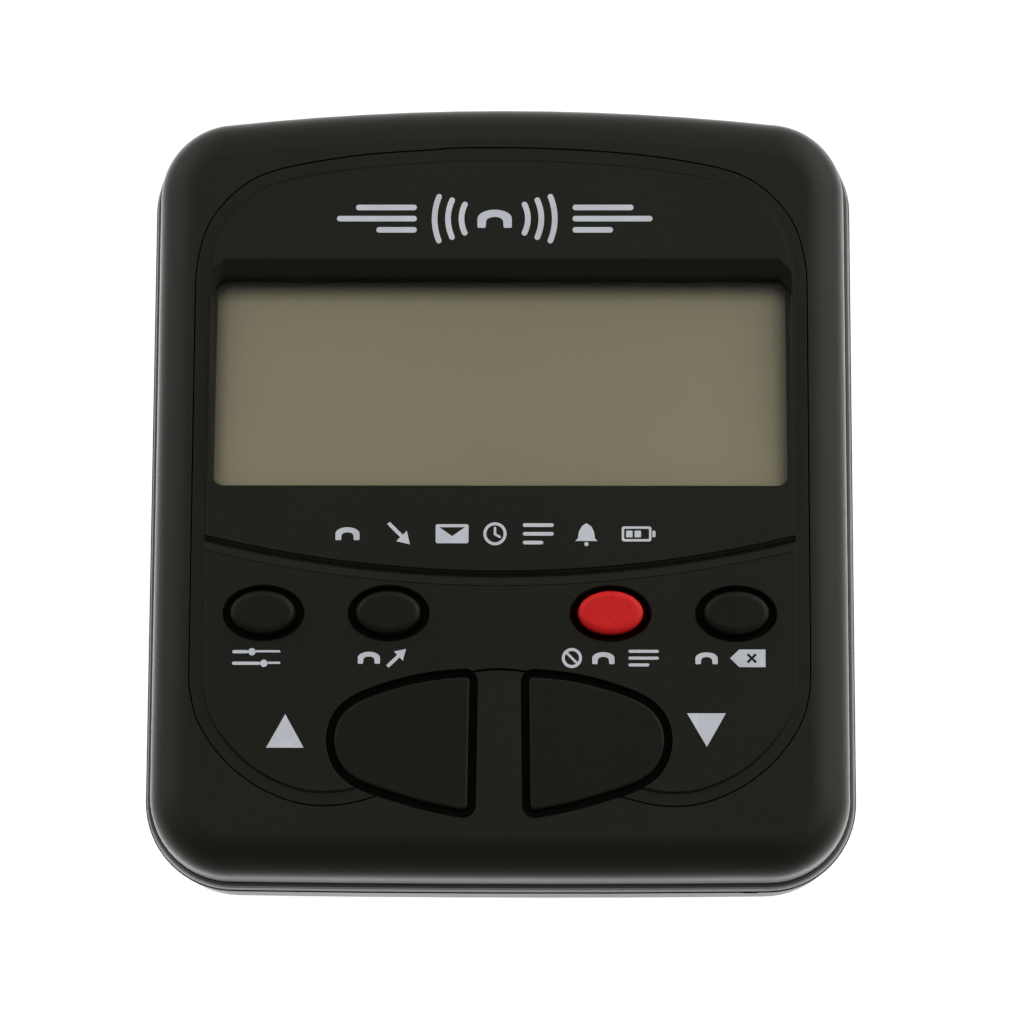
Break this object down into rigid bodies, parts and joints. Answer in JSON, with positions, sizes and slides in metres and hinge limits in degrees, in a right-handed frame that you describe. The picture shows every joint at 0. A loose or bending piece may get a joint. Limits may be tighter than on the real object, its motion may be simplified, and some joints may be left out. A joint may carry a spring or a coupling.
{
  "type": "telephone caller display and call blocker",
  "caption": "Hand-sized telephone caller display with a tilted LCD, oval keys, two half-oval keys, sliding battery door and telephone sockets.",
  "frame": {"origin": "middle of the footprint at the underside of the rubber feet", "axes": "+X to the user's right, +Y towards the display end and the telephone sockets, +Z out of the face"},
  "size_m": [0.09, 0.1011, 0.027],
  "materials": {
    "shell_black": "fine spark-eroded satin ABS",
    "panel_black": "fine satin ABS",
    "key_black": "satin ABS",
    "key_red": "satin ABS, moulded through in red",
    "clear_window": "clear acrylic",
    "display_grey": "reflective display with a matt polariser",
    "gasket_foam": "black foam",
    "holder_white": "plain moulded",
    "silicone_grey": "silicone rubber",
    "board_green": "solder mask",
    "chip_black": "moulded epoxy",
    "tin": "tinned",
    "steel": "zinc plated",
    "gold": "gold flashed",
    "jack_black": "moulded",
    "relay_yellow": "moulded relay case",
    "transformer_core": "laminated core with taped coil",
    "capacitor_sleeve": "shrink sleeve",
    "diode_black": "moulded",
    "cell_wrap": "plain printed wrap",
    "lead_red": "pvc insulation",
    "lead_black": "pvc insulation",
    "foot_rubber": "soft rubber"
  },
  "bodies": {
    "case": {"front_shell": "shell_black", "back_shell": "shell_black", "face_panel": "panel_black", "display_window": "clear_window", "display_gasket": "gasket_foam", "lcd_glass": "display_grey", "lcd_holder": "holder_white", "contact_strip": "silicone_grey", "keypad_mat": "silicone_grey", "set_dome": "silicone_grey", "out_dome": "silicone_grey", "block_dome": "silicone_grey", "remove_dome": "silicone_grey", "up_dome": "silicone_grey", "down_dome": "silicone_grey", "main_board": "board_green", "board_screws": "steel", "case_screws": "steel", "line_jack": "jack_black", "phone_jack": "jack_black", "jack_contacts": "gold", "controller_chip": "chip_black", "chip_leads": "tin", "crystal": "tin", "hook_relay": "relay_yellow", "line_transformer": "transformer_core", "filter_capacitors": "capacitor_sleeve", "bridge_diodes": "diode_black", "aaa_cells": "cell_wrap", "battery_springs": "steel", "battery_plates": "steel", "lead_positive": "lead_red", "lead_negative": "lead_black", "rubber_feet": "foot_rubber"},
    "set_button": {"set_key": "key_black"},
    "out_button": {"out_key": "key_black"},
    "block_button": {"block_key": "key_red"},
    "remove_button": {"remove_key": "key_black"},
    "up_button": {"up_key": "key_black"},
    "down_button": {"down_key": "key_black"},
    "door": {"battery_door": "shell_black"}
  },
  "joints": [
    {"name": "set_press", "type": "slide", "parent": "case", "child": "set_button", "axis": [0, 0, -1], "range_m": [0, 0.001], "deforming": ["set_dome"]},
    {"name": "out_press", "type": "slide", "parent": "case", "child": "out_button", "axis": [0, 0, -1], "range_m": [0, 0.001], "deforming": ["out_dome"]},
    {"name": "block_press", "type": "slide", "parent": "case", "child": "block_button", "axis": [0, 0, -1], "range_m": [0, 0.001], "deforming": ["block_dome"]},
    {"name": "remove_press", "type": "slide", "parent": "case", "child": "remove_button", "axis": [0, 0, -1], "range_m": [0, 0.001], "deforming": ["remove_dome"]},
    {"name": "up_press", "type": "slide", "parent": "case", "child": "up_button", "axis": [0, 0, -1], "range_m": [0, 0.001], "deforming": ["up_dome"]},
    {"name": "down_press", "type": "slide", "parent": "case", "child": "down_button", "axis": [0, 0, -1], "range_m": [0, 0.001], "deforming": ["down_dome"]},
    {"name": "door_slide", "type": "slide", "parent": "case", "child": "door", "axis": [0, -1, 0], "range_m": [0, 0.044]}
  ]
}
